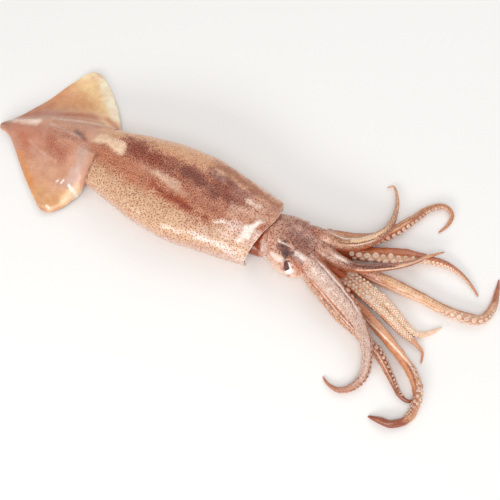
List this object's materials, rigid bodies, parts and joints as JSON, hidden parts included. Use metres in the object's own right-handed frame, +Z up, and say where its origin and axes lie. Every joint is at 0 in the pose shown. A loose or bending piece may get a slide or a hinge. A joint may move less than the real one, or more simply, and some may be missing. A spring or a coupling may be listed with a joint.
{
  "type": "whole raw squid",
  "caption": "Whole raw squid lying belly down, with a long tapering mantle, a pair of tail fins, a head with an eye on each side, and arms and tentacles fanned out in front.",
  "frame": {"origin": "on the surface the squid lies on, under the middle of the mantle", "axes": "+X from the tail towards the arms, +Y to the squid's left side, +Z up"},
  "size_m": [0.3788, 0.1677, 0.0344],
  "materials": {
    "skin": "wet, smooth"
  },
  "bodies": {
    "root": {"squid": "skin"}
  },
  "joints": []
}
